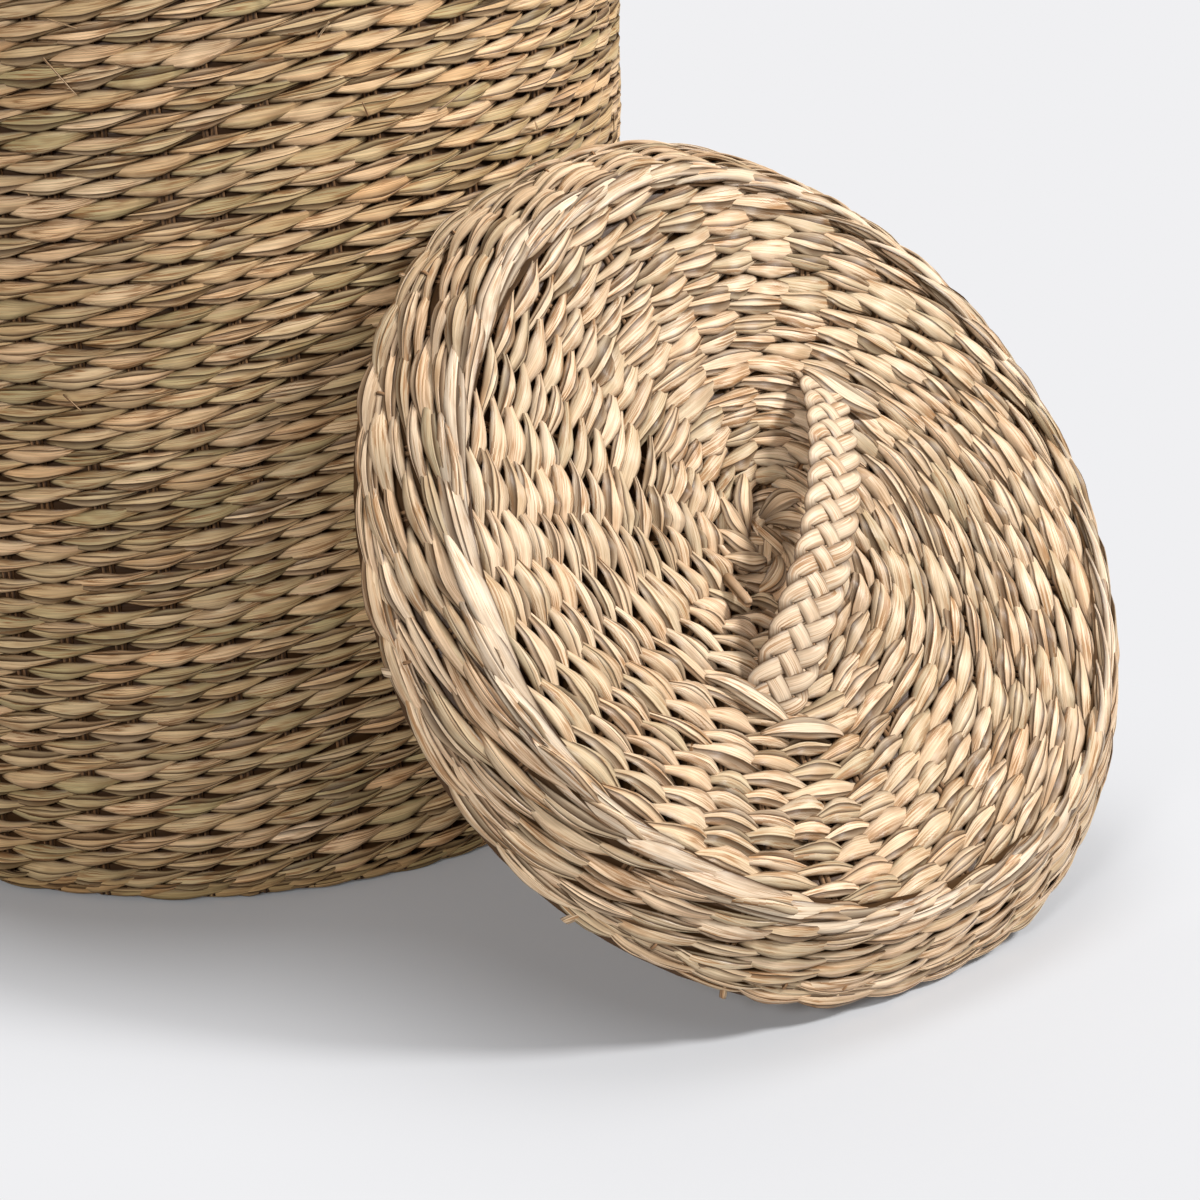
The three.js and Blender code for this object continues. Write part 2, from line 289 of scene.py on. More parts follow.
# The photograph's camera: place in metres, heading and dip in radians, lens and square frame
CAMERA_PLACE = (0.0, -1.20308, 0.50313)
CAMERA_TURN = 0.144
CAMERA_DIP = 0.354
CAMERA_LENS = 83.55
CAMERA_FRAME = 36


def smooth(value):
    clipped = np.clip(value, 0.0, 1.0)
    return clipped * clipped * (3 - 2 * clipped)


def wave(rng, amplitude):
    """A gentle closed unevenness round a ring, which drifts from row to row."""
    turns = rng.integers(2, 9, 5)
    phases = rng.uniform(0, TURN, 5)
    drifts = rng.uniform(-0.02, 0.02, 5)
    return lambda angle, level: amplitude / 2 * sum(
        np.sin(turn * angle + phase + drift * level)
        for turn, phase, drift in zip(turns, phases, drifts)
    )


def unit(vectors):
    return vectors / np.linalg.norm(vectors, axis=1)[:, None]


def outward(angle):
    return np.stack([np.cos(angle), np.sin(angle), np.zeros(len(angle))], 1)


def round_path(radius, angle, height):
    return np.stack([radius * np.cos(angle), radius * np.sin(angle), height], 1)


def depth_of(look):
    """How far a row's outer face stands off its middle."""
    return look["depth"] + look["thick"]


def section_places(place):
    """Where the section's points lie across a leaf, from -1 to 1."""
    first, second = place[:, 0], place[:, 1]
    one = np.ones(len(place))
    return np.stack([
        -one, -EDGE_PLACE * one, first - CREASE_GAP, first + CREASE_GAP, (first + second) / 2,
        second - CREASE_GAP, second + CREASE_GAP, EDGE_PLACE * one, one, BACK_PLACE * one,
        0 * one, -BACK_PLACE * one,
    ], 1)


def section_lift(v, thick, layer):
    """How far the section's points stand off the leaf's own plane."""
    dome = np.clip(1 - np.abs(v) ** 2.6, 0, 1) ** 0.55
    steps = np.where(SECTION_BULGE > 0, layer[:, SECTION_LAYER] * (1 - v ** 4), 0)
    return thick[:, None] * dome * SECTION_BULGE + steps


def section_shade(layer, dark):
    """Painted shade of the section's points: edges, the lower side of each crease, and the back."""
    shade = np.zeros((len(layer), SECTION_POINTS))
    shade[:, [0, 8]] = EDGE_SHADE
    shade[:, [1, 7]] = NEAR_EDGE_SHADE
    for outer, outer_point, middle_point in ((0, 2, 3), (2, 6, 5)):
        lower = layer[:, outer] < layer[:, 1]
        step = np.clip(np.abs(layer[:, outer] - layer[:, 1]) / DEEP_CREASE, 0, 1)
        shade[:, outer_point] = np.where(lower, step, 0)
        shade[:, middle_point] = np.where(lower, 0, step)
    shade = np.maximum(shade, dark)
    shade[:, 9:] = BACK_SHADE
    return shade


def face_corners(start, end, low, high):
    """UV places of the four corners of each face, in the order of the face's corners."""
    return np.stack([
        np.stack([start, low], 2), np.stack([end, low], 2),
        np.stack([end, high], 2), np.stack([start, high], 2),
    ], 2).reshape(-1, 2)


def bake_corners(ring, side, level):
    """Bake UVs of a strand, which is cut into strips that lie above one another from level up."""
    strip = ring // BAKE_STRIP_RINGS
    start = (ring - strip * BAKE_STRIP_RINGS) / BAKE_STRIP_RINGS
    full = np.ones_like(side)
    margin, gap = BAKE_MARGIN
    start, end = (
        margin + (1 - 2 * margin) * way * full for way in (start, start + 1 / BAKE_STRIP_RINGS))
    low, high = (
        (strip + level) * full + gap + (1 - 2 * gap) * point / SECTION_POINTS
        for point in (side, side + 1))
    return face_corners(start, end, low, high)


class Weave:
    """Gathers the strands of one piece and makes one mesh of them."""

    def __init__(self):
        self.points = []
        self.faces = []
        self.tones = []
        self.leaf_uv = []
        self.bake_uv = []
        self.caps = []
        self.count = 0
        self.strip_count = 0

    def ribbon(self, centre, across, normal, half, thick, folds, tones, along, closed, dark=0.0):
        """Sweeps a leaf's section along centre. Each argument holds one row for each ring.

        half is the half breadth and thick the bulge. folds has the two crease places (-1 to 1) and
        the heights of the three layers. tones has (olive, light) for each layer. along is the way
        along the strand, and dark is the least shading.
        """
        rings = len(centre)
        place, layer = folds
        v = section_places(place)
        points = (
            centre[:, None, :]
            + across[:, None, :] * (half[:, None] * v)[:, :, None]
            + normal[:, None, :] * section_lift(v, thick, layer)[:, :, None]
        )
        shade = section_shade(layer, dark)[:, :, None]
        tone = np.concatenate([tones[:, SECTION_LAYER, :], shade], 2)

        steps = rings if closed else rings - 1
        ring = np.arange(steps)[:, None]
        side = np.arange(SECTION_POINTS)[None, :]
        beside = (side + 1) % SECTION_POINTS
        here = self.count + ring * SECTION_POINTS
        after = self.count + (ring + 1) % rings * SECTION_POINTS
        quads = np.stack([here + side, after + side, after + beside, here + beside], 2)

        start = np.broadcast_to(along[:steps, None], (steps, SECTION_POINTS))
        low = (v * half[:, None] + self.strip_count * LEAF_SHIFT)[:steps]
        high = np.roll(low, -1, 1)
        high[:, -1] = low[:, -1] - 1.0
        self.leaf_uv.append(face_corners(start, start + (along[1] - along[0]), low, high))
        self.bake_uv.append(bake_corners(ring, side, self.strip_count))
        self.points.append(points.reshape(-1, 3))
        self.tones.append(tone.reshape(-1, 3))
        self.faces.append(quads.reshape(-1, 4))
        if not closed:
            first = self.count + np.arange(SECTION_POINTS)
            last = first + (rings - 1) * SECTION_POINTS
            self.caps.extend([first, last[::-1]])
        self.count += rings * SECTION_POINTS
        self.strip_count += (steps - 1) // BAKE_STRIP_RINGS + 1

    def gather(self):
        """Corners and first corners of all faces, and both UV places of the corners."""
        quads = np.concatenate(self.faces)
        corners = quads.reshape(-1)
        starts = np.arange(len(quads)) * 4
        leaf = np.concatenate(self.leaf_uv)
        bake = np.concatenate(self.bake_uv)
        bake[:, 1] /= self.strip_count
        if self.caps:
            caps = np.array(self.caps)
            cap_starts = len(corners) + np.arange(len(caps)) * SECTION_POINTS
            starts = np.concatenate([starts, cap_starts])
            corners = np.concatenate([corners, caps.reshape(-1)])
            leaf = np.concatenate([leaf, np.zeros((caps.size, 2))])
            turn = np.arange(caps.size) % SECTION_POINTS / SECTION_POINTS * TURN
            spot = np.array(CAP_SPOT) + CAP_RADIUS * outward(turn)[:, :2]
            bake = np.concatenate([bake, spot])
        return corners, starts, leaf, bake

    def build(self, name, material, place=None):
        """Makes the piece. place has the axes and the origin of the lid's own frame."""
        points = np.concatenate(self.points)
        if place is None:
            points = points * MM
        else:
            axes, origin = place
            points = out_of_round(points) * MM @ axes + origin
        corners, starts, leaf, bake = self.gather()
        mesh = bpy.data.meshes.new(name)
        mesh.vertices.add(len(points))
        mesh.vertices.foreach_set("co", points.reshape(-1))
        mesh.loops.add(len(corners))
        mesh.loops.foreach_set("vertex_index", corners)
        mesh.polygons.add(len(starts))
        mesh.polygons.foreach_set("loop_start", starts)
        mesh.update(calc_edges=True)
        mesh.shade_smooth()
        mark_sharp(mesh)
        # The colour attribute holds each point's olive and light and, third, its painted shade
        tones = np.concatenate(self.tones)
        colour = np.concatenate([tones, np.ones((len(tones), 1))], 1)
        shade = mesh.attributes.new("leaf_tone_and_shade", "FLOAT_COLOR", "POINT")
        shade.data.foreach_set("color", colour.reshape(-1))
        mesh.uv_layers.new(name="leaf").uv.foreach_set("vector", leaf.reshape(-1))
        mesh.uv_layers.new(name="OFBake").uv.foreach_set("vector", bake.reshape(-1))
        mesh.materials.append(material)
        piece = bpy.data.objects.new(name, mesh)
        bpy.context.scene.collection.objects.link(piece)
        return piece


def mark_sharp(mesh):
    ends = np.zeros(len(mesh.edges) * 2, int)
    mesh.edges.foreach_get("vertices", ends)
    side = ends.reshape(-1, 2) % SECTION_POINTS
    sharp = (side[:, 0] == side[:, 1]) & np.isin(side[:, 0], SECTION_EDGES)
    mesh.attributes.new("sharp_edge", "BOOLEAN", "EDGE").data.foreach_set("value", sharp)


def leaf_tones(rng, mean, spread, count):
    """Tones of the three layers of a leaf, the same in all its rings."""
    return np.tile(np.clip(rng.normal(mean, spread, (3, 2)), 0, 1), (count, 1, 1))


def dull_tones(count):
    return np.tile([DULL_TONE] * 3, (count, 1, 1))


def even_folds(count, creases, layers=(0.0, 0.0, 0.0)):
    return np.tile(creases, (count, 1)), np.tile(layers, (count, 1))


def grain_tones(rng, count, look):
    """Olive and light of the three layers of each grain of one strand."""
    slow = np.convolve(rng.normal(0, 1, count + 4), np.ones(5) / 5, "valid")[:count]
    olive = look["olive"] + 0.28 * slow + rng.normal(0, 0.24, count)
    light = look["light"] + rng.normal(0, 0.22, count)
    layers = []
    for _ in range(3):
        layers.append(np.stack([
            olive + rng.normal(0, 0.16, count),
            light + rng.normal(0, 0.12, count),
        ], 1))
    return np.clip(np.stack(layers, 1), 0, 1)


def grain_folds(rng, count):
    """Crease places and layer heights of each grain: some leaves lie flat, some are folded."""
    place = np.stack([rng.uniform(-0.6, -0.08, count), rng.uniform(0.1, 0.62, count)], 1)
    layer = np.zeros((count, 3))
    layer[:, 0] = rng.choice(LEFT_LAYERS, count)
    layer[:, 2] = rng.choice(RIGHT_LAYERS, count)
    slant = rng.normal(0, 0.35, (count, 2))
    return place, layer, slant


def stake_ring(rng, stakes, uneven, phase=0.0):
    """Angles of the stakes round a ring, which are not quite evenly spaced, and the first again."""
    places = np.arange(stakes) + rng.uniform(-uneven, uneven, stakes)
    return phase + np.append(places, places[0] + stakes) * TURN / stakes


def twine(weave, rng, radius, height, tilt, ring, look, turn=0.0, aside=0.0, uneven=None):
    """One row: its strands take turns in front of the stakes and cross between them.

    radius and height place the row's middle, and aside moves it along +Y. tilt is the angle
    between its outward direction and the horizontal. ring has the stakes' angles, and turn
    shifts them. Each strand goes once round and joins itself.
    """
    strands = look["strands"]
    stakes = len(ring) - 1
    strays = rng.uniform(-1, 1, stakes) * look["stray"] * TURN / stakes
    ring = ring + np.append(strays, strays[0])
    rings = stakes * look["rings"]
    u = (np.arange(rings) + 0.5) / look["rings"]
    angle = turn + np.interp(u, np.arange(stakes + 1), ring)
    out = outward(angle)
    face = math.cos(tilt) * out + math.sin(tilt) * UP
    rise_way = math.cos(tilt) * UP - math.sin(tilt) * out
    middle = out * radius + UP * height + np.array([0.0, aside, 0.0])
    spacing = TURN * radius / stakes
    size = min(1.0, 0.45 + 0.55 * spacing / FULL_SPACING)
    shift = np.zeros(rings) if uneven is None else uneven(angle, height + radius)
    count = stakes // strands
    for strand in range(strands):
        x = (u - strand) / strands
        grain = np.floor(x + 0.5).astype(int)
        x = x - grain
        share = 0.5 * smooth((np.abs(x) - 0.38) / 0.12)
        beside = (grain + np.where(x < 0, -1, 1)) % count
        grain = grain % count

        def along_strand(values):
            part = share.reshape((-1,) + (1,) * (values.ndim - 1))
            return values[grain] * (1 - part) + values[beside] * part

        kink = along_strand(rng.uniform(0.25, 0.95, count))
        width = along_strand(1 + rng.normal(0, look["spread"], count))
        rise = along_strand(1 + rng.normal(0, 0.12, count))
        roll = along_strand(rng.normal(0, 0.12, count))
        sway = along_strand(rng.normal(0, look["sway"], count))
        proud = along_strand(rng.normal(0, 0.3, count))
        place, layer, slant = grain_folds(rng, count)
        depth = np.interp(np.abs(x), GRAIN_PLACES, GRAIN_FRONT)
        swell = np.interp(np.abs(x), GRAIN_PLACES, GRAIN_BREADTH) ** (0.75 + 0.6 * kink)
        half = (look["waist"] + (look["half"] - look["waist"]) * swell) * width * size
        thick = (look["waist_thick"] + (look["thick"] - look["waist_thick"]) * swell) * size
        lean = roll - look["roll"] * np.sin(TURN * x)
        normal = face * np.cos(lean)[:, None] + rise_way * np.sin(lean)[:, None]
        across = rise_way * np.cos(lean)[:, None] - face * np.sin(lean)[:, None]
        lift = look["depth"] * depth * size + proud
        start, end = look["start"], look["end"]
        ends = [0, start * TIP_REACH, start, end, end * TIP_REACH, 0]
        climb = np.interp(x, CLIMB_PLACES, ends) * rise
        climb += look["bow"] * np.maximum(0, 1 - (x / 0.32) ** 2) + sway + shift
        path = middle + face * lift[:, None] + rise_way * climb[:, None]
        creases = along_strand(place) + along_strand(slant) * x[:, None]
        creases[:, 0] = np.clip(creases[:, 0], -0.75, -0.02)
        creases[:, 1] = np.clip(creases[:, 1], 0.08, 0.75)
        folds = (creases, along_strand(layer) * size)
        tones = along_strand(grain_tones(rng, count, look))
        # Painted shade where the strand dives behind the stakes and the next grain
        hidden = look["shade_behind"] * smooth((0.05 - depth) / 0.6)[:, None]
        weave.ribbon(path, across, normal, half, thick, folds, tones, u * spacing, True, hidden)
    line_shade_sheet(weave, look, middle, face, rise_way, shift, u * spacing)


def line_shade_sheet(weave, look, middle, face, rise_way, shift, along):
    """A leaf among a row's stakes that closes the chinks between strands, painted dark as shade."""
    step = look["rings"] // 2
    middle, face, rise_way = middle[::step], face[::step], rise_way[::step]
    rings = len(middle)
    path = middle - face * 0.6 + rise_way * shift[::step, None]
    weave.ribbon(path, rise_way, face, np.full(rings, look["backing"]), np.full(rings, 0.25),
                 even_folds(rings, (-0.3, 0.3)), dull_tones(rings), along[::step], True, 1.0)


def tube(weave, rng, path, radius, tone):
    """A thin reed along a path, with a leaf's section as thick as it is broad."""
    count = len(path)
    ahead = unit(np.gradient(path, axis=0))
    guide = UP if abs(ahead[0, 2]) < 0.8 else np.array([1.0, 0.0, 0.0])
    across = unit(np.cross(ahead, guide))
    along = np.concatenate([[0], np.cumsum(np.linalg.norm(np.diff(path, axis=0), axis=1))])
    size = np.broadcast_to(radius, (count,)).astype(float)
    weave.ribbon(path, across, np.cross(ahead, across), size, size,
                 even_folds(count, (-0.35, 0.35)), leaf_tones(rng, tone, 0.12, count), along, False)


def add_piece(weave, name, material, body, slot, *nodes):
    """Makes a piece with its material on its body, hides the CAD it replaces; slot is not used."""
    piece = weave.build(name, material, lid_place() if body == "lid" else None)
    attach(piece, body)
    if nodes:
        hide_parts(*nodes)


def wall_radius(height):
    return FOOT_RADIUS - WALL_DRAW * height / WALL_TOP


def twist_at(height):
    """How far the stakes have drifted round the wall at a height, in radians."""
    return STAKE_TWIST * height / FOOT_RADIUS


def wall_ring():
    return stake_ring(np.random.default_rng(10), WALL_STAKES, STAKE_UNEVEN)


def make_base(materials):
    rng = np.random.default_rng(13)
    inner, outer, foot = Weave(), Weave(), Weave()
    for radius in [(row + 0.5) * ROW_PITCH for row in range(BASE_ROWS)] + [BASE_EDGE_RADIUS]:
        stakes = next(count for limit, count in BASE_STAKES if radius < limit)
        weave = inner if radius < BASE_CENTRE_RADIUS else outer
        weave = foot if radius == BASE_EDGE_RADIUS else weave
        ring = stake_ring(np.random.default_rng(stakes), stakes, 0.08)
        twine(weave, rng, radius, BASE_THICKNESS / 2 + BASE_LIFT, -math.pi / 2, ring, BASE)
    straw = materials["base"]
    add_piece(inner, "base_weave_middle", straw, "basket", "base_straw", "base_centre_weave")
    add_piece(outer, "base_weave_ring", straw, "basket", "base_straw", "base_outer_weave")
    rows = ((FOOT_ROW, FOOT, 0.0), (FOOT_EDGE_ROW, FOOT_EDGE, math.pi / WALL_STAKES))
    for (inset, height, tilt), look, turn in rows:
        twine(foot, rng, FOOT_RADIUS - inset, height, tilt, wall_ring(), look, turn)
    add_piece(foot, "foot_weave", straw, "basket", "base_straw", "foot_courses")


def make_wall(materials):
    rng = np.random.default_rng(11)
    uneven = wave(rng, 0.9)
    reach = depth_of(WALL) + WALL_INSET
    ring = wall_ring()
    for band in range(BANDS):
        weave = Weave()
        for row in range(ROWS_PER_BAND):
            height = FOOT_HEIGHT + (band * ROWS_PER_BAND + row + 0.5) * ROW_PITCH
            low = LOW_ROWS_SHADE * (1 - height / WALL_TOP)
            look = dict(WALL, olive=WALL["olive"] + low, light=WALL["light"] - low)
            twine(weave, rng, wall_radius(height) - reach, height, 0.0, ring, look,
                  twist_at(height), uneven=uneven)
        add_piece(weave, f"wall_weave_{band + 1}", materials["wall"], "basket", "wall_straw",
                  f"wall_courses_{band + 1}")


def make_neck_and_rim(materials):
    rng = np.random.default_rng(12)
    reach = depth_of(NECK)
    upper = RIM_RADIUS - NECK_INSET
    lean = math.atan2(wall_radius(WALL_TOP) - upper, NECK_TOP - WALL_TOP)
    weave = Weave()
    for row in range(NECK_ROWS):
        share = (row + 0.5) / NECK_ROWS
        height = WALL_TOP + (NECK_TOP - WALL_TOP) * share - reach * math.sin(lean)
        radius = wall_radius(WALL_TOP) + (upper - wall_radius(WALL_TOP)) * share
        twine(weave, rng, radius - reach * math.cos(lean), height, lean, wall_ring(), NECK,
              twist_at(height))
    add_piece(weave, "neck_weave", materials["wall"], "basket", "wall_straw", "neck_courses")
    weave = Weave()
    inset, height, tilt = RIM_ROW
    twine(weave, rng, RIM_RADIUS - inset, height, tilt, wall_ring(), RIM, twist_at(HEIGHT))
    add_piece(weave, "rim_braid", materials["wall"], "basket", "wall_straw", "rim_border")


def make_wall_stakes(materials):
    rng = np.random.default_rng(14)
    weave = Weave()
    heights = np.linspace(2.0, HEIGHT - 9, 34)
    slope = np.clip((heights - WALL_TOP) / (NECK_TOP - WALL_TOP), 0, 1)
    radius = wall_radius(np.minimum(heights, WALL_TOP)) - (depth_of(WALL) + WALL_INSET)
    radius = radius - slope * (wall_radius(WALL_TOP) - RIM_RADIUS + NECK_INSET)
    for place in wall_ring()[:-1]:
        for side in (-1, 1):
            wobble = rng.normal(0, 0.25, len(heights))
            angle = place + twist_at(heights) + (side * 1.35 + wobble) / FOOT_RADIUS
            tube(weave, rng, round_path(radius, angle, heights), rng.uniform(1.15, 1.45),
                 (0.1, rng.uniform(0.0, 0.35)))
    add_piece(weave, "wall_stakes", materials["stake"], "basket", "stake")


def make_strays(materials):
    """Thin fibres and split ends that stand off the wall's weave."""
    rng = np.random.default_rng(15)
    weave = Weave()
    fibres = list(WALL_FIBRES)
    for _ in range(MORE_FIBRES):
        angle, height = rng.uniform(0, 360), rng.uniform(20, 455)
        fibres.append((angle, height, angle + rng.normal(0, 3), height + rng.normal(0, 5)))
    share = np.linspace(0, 1, 8)
    for angle, height, end_angle, end_height in fibres:
        angles = np.radians(angle + (end_angle - angle) * share)
        heights = height + (end_height - height) * share
        lift = rng.uniform(0.3, 1.4) * share + 0.2
        radius = wall_radius(np.minimum(heights, WALL_TOP)) + lift
        radius -= np.maximum(0, heights - WALL_TOP) * 0.5
        sizes = rng.uniform(0.3, 0.5) * (1 - 0.5 * share)
        tube(weave, rng, round_path(radius, angles, heights), sizes, (0.1, rng.uniform(0.4, 1.0)))
    add_piece(weave, "wall_fibres", materials["wall"], "basket", "wall_straw")


def lid_place():
    """The lid's own axes and the middle of its crest plane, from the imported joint."""
    joint = frame["joints"][0]
    right = np.array(joint["axis"], float)
    right /= np.linalg.norm(right)
    foot = np.array(joint["pos_m"], float)
    ahead = np.array([right[1], -right[0], 0.0])
    out = ahead * math.cos(LID_BACK_LEAN) + UP * math.sin(LID_BACK_LEAN)
    up = np.cross(out, right)
    flat = LID_BORDER_RADIUS * math.cos(math.pi / LID_FACETS)
    origin = foot + up * flat * MM + out * LID_DEPTH * MM
    return np.stack([right, up, out]), origin


def out_of_round(points):
    """Swells the lid's outer part into three soft lobes, but not where it leans on the wall."""
    radius = np.maximum(np.hypot(points[:, 0], points[:, 1]), 1.0)
    angle = np.arctan2(points[:, 1], points[:, 0])
    swell = LID_SWELL + LID_LOBES * np.cos(3 * (angle - LID_LOBE_TURN))
    swell *= 1 - np.exp(LID_WALL_FOCUS * (np.cos(angle - LID_WALL_TURN) - 1))
    part = smooth((radius - LID_ROUND_RADIUS) / (LID_BORDER_RADIUS - LID_ROUND_RADIUS))
    moved = points.copy()
    moved[:, :2] *= (1 + swell * part / radius)[:, None]
    return moved


def dish_height(radius):
    return -LID_DISH * (1 - (radius / LID_CREST_RADIUS) ** LID_DISH_POWER)


def dish_tilt(radius):
    slope = LID_DISH * LID_DISH_POWER / LID_CREST_RADIUS
    slope *= (radius / LID_CREST_RADIUS) ** (LID_DISH_POWER - 1)
    return math.pi / 2 + math.atan(slope)


def lid_aside(radius):
    """How far the weave's middle lies aside from the lid's, less and less towards the edge."""
    return LID_WEAVE_OFFSET * np.maximum(0.0, 1 - (radius / LID_OFFSET_RADIUS) ** 2)


def lid_side_point(slant, inset):
    """A point on the lid's slanting side, so far down from the crest and so far in."""
    radius = LID_CREST_RADIUS + SIDE_RUN * slant / SIDE_LENGTH - inset * LID_DEPTH / SIDE_LENGTH
    height = -LID_DEPTH * slant / SIDE_LENGTH - inset * SIDE_RUN / SIDE_LENGTH
    return radius, height


def lid_rings():
    """The outer radius and the stake angles of each ring of the lid's top."""
    rng = np.random.default_rng(20)
    return [(limit, stake_ring(rng, stakes, 0.12, 0.1)) for limit, stakes in LID_STAKES]


def side_ring():
    return stake_ring(np.random.default_rng(23), SIDE_STAKES, 0.1)


def make_lid(materials):
    rng = np.random.default_rng(21)
    uneven = wave(rng, 0.8)
    make_lid_top(materials["lid"], rng, uneven)
    make_lid_crest(materials["pale"], rng, uneven)
    make_lid_side(materials["lid"], rng, uneven)
    make_lid_border(materials["lid"], rng, uneven)
    make_lid_stakes(materials["stake"])


def make_lid_top(straw, rng, uneven):
    parts = [Weave() for _ in LID_RING_NAMES]
    rings = lid_rings()
    reach = depth_of(LID)
    for surface in [(row + 0.5) * ROW_PITCH for row in range(1, LID_ROWS)] + [LIP_RADIUS]:
        lip = surface == LIP_RADIUS
        tilt = LIP_TILT if lip else dish_tilt(surface)
        ring = next(angles for limit, angles in rings if surface < limit)
        part = parts[sum(surface > end for end in LID_RING_ENDS[:-1])]
        look = LIP if lip else HEART if surface < HEART_RADIUS else LID
        # Painted shade: rows near the lid's middle are made less pale
        shade = HEART_SHADE * max(0.0, 1 - surface / SHADED_RADIUS)
        twine(part, rng, surface - reach * math.cos(tilt),
              dish_height(surface) - reach * math.sin(tilt), tilt, ring,
              dict(look, light=look["light"] - shade), LID_TWIST * surface, lid_aside(surface),
              uneven if surface > 20 else None)
    lay_centre(parts[0], rng)
    for name, part in zip(LID_RING_NAMES, parts):
        add_piece(part, f"lid_weave_{name}", straw, "lid", "lid_straw", f"lid_{name}_weave")


def lay_centre(weave, rng):
    """The lid's middle: a ground painted as shade, five crossing leaves and nine that curl round.
    """
    turn = np.arange(24) * TURN / 24
    out = outward(turn)
    ground = out * 4.5 + np.array([0.0, LID_WEAVE_OFFSET, dish_height(4.0) - 4.0])
    weave.ribbon(ground, out, np.tile(UP, (24, 1)), np.full(24, 5.0), np.full(24, 0.3),
                 even_folds(24, (-0.3, 0.3)), dull_tones(24), turn * 4.5, True, 0.8)
    share = np.linspace(-1, 1, 17)
    folds = even_folds(17, (-0.4, 0.35), (-0.25, 0.0, -0.3))
    for leaf in range(5):
        heading = 0.35 + leaf * math.pi / 5 * 2 + rng.normal(0, 0.1)
        ahead = np.array([math.cos(heading), math.sin(heading), 0.0])
        across = np.array([-math.sin(heading), math.cos(heading), 0.0])
        path = ahead * (share * 9.5 + 4.0)[:, None]
        path = path + across * (1.2 + 0.8 * share ** 2)[:, None]
        path[:, 1] += LID_WEAVE_OFFSET
        level = dish_height(4.0) - 1.6 + 1.1 * leaf / 4 - 3.4 * np.maximum(0, share) ** 2
        path[:, 2] = level - 0.8 * np.minimum(0, share) ** 2
        half = 4.6 - 1.6 * np.abs(share) ** 3
        weave.ribbon(path, np.tile(across, (17, 1)), np.tile(UP, (17, 1)), half, np.full(17, 0.9),
                     folds, leaf_tones(rng, (0.3, 0.3), 0.1, 17), share * 9.5, False)
    for petal in range(9):
        heading = petal * TURN / 9 + rng.normal(0, 0.12)
        reach = rng.uniform(22, 27)
        outer = (reach * math.cos(heading), reach * math.sin(heading) + LID_WEAVE_OFFSET)
        heading += rng.uniform(0.9, 1.25)
        inner = (8 * math.cos(heading), 8 * math.sin(heading) + LID_WEAVE_OFFSET)
        # The curling leaves get painted shade towards their inner ends
        lay_leaf(weave, rng, outer, inner, rng.uniform(-3, -1.5), rng.uniform(3.7, 4.8), 1.2, 0.8)


def lay_leaf(weave, rng, start, end, bow, half, proud=2.6, shade=0.0):
    """A broad leaf over the dish's weave from start to end, with both its ends tucked in.

    proud is how far it stands off the dish, and shade darkens it towards its end.
    """
    share = np.linspace(-1, 1, 25)
    start, end = np.array(start, float), np.array(end, float)
    length = np.linalg.norm(end - start)
    run = (end - start) / length
    side = np.array([-run[1], run[0]])
    spots = start + (end - start) * (share[:, None] + 1) / 2
    spots = spots + side * bow * (1 - share[:, None] ** 2)
    level = dish_height(np.hypot(spots[:, 0], spots[:, 1])) + proud - 4.2 * share ** 4
    path = np.stack([spots[:, 0], spots[:, 1], level], 1)
    ahead = unit(np.gradient(path, axis=0))
    across = unit(np.cross(UP, ahead))
    width = half * (1 - 0.75 * np.abs(share) ** 1.6)
    weave.ribbon(path, across, np.cross(ahead, across), width, np.full(25, 1.2),
                 even_folds(25, (-0.45, 0.4), (-0.3, 0.0, -0.2)),
                 leaf_tones(rng, (0.3, 0.35), 0.1, 25), np.linspace(0, length, 25), False,
                 shade * smooth(share)[:, None])


def make_lid_crest(straw, rng, uneven):
    weave = Weave()
    ring = stake_ring(rng, CREST_STAKES, 0.1)
    reach = depth_of(CREST)
    twine(weave, rng, LID_CREST_RADIUS - CREST_INSET - reach * math.cos(CREST_TILT),
          -CREST_DROP - reach * math.sin(CREST_TILT), CREST_TILT, ring, CREST, uneven=uneven)
    add_piece(weave, "lid_crest_braid", straw, "lid", "pale_straw", "lid_crest_wale")


def make_lid_side(straw, rng, uneven):
    weave = Weave()
    for slant in SIDE_ROWS:
        radius, height = lid_side_point(slant, depth_of(SIDE))
        twine(weave, rng, radius, height, SIDE_TILT, side_ring(), SIDE, SIDE_TWIST * slant,
              uneven=uneven)
    add_piece(weave, "lid_side_weave", straw, "lid", "lid_straw", "lid_side_courses")


def make_lid_border(straw, rng, uneven):
    weave = Weave()
    ring = side_ring()
    for slant, inset, turn in BORDER_ROWS:
        radius, height = lid_side_point(slant, inset)
        twine(weave, rng, radius, height, SIDE_TILT - BORDER_LEAN, ring, BORDER, turn,
              uneven=uneven)
    for angle in ring[:-1]:
        stands_on_it = math.cos(angle + math.pi / 2) >= 0.9
        if rng.random() < 0.4 and not stands_on_it:
            lay_tab(weave, rng, angle + rng.uniform(-0.02, 0.05))
    add_piece(weave, "lid_border_braid", straw, "lid", "lid_straw", "lid_border")


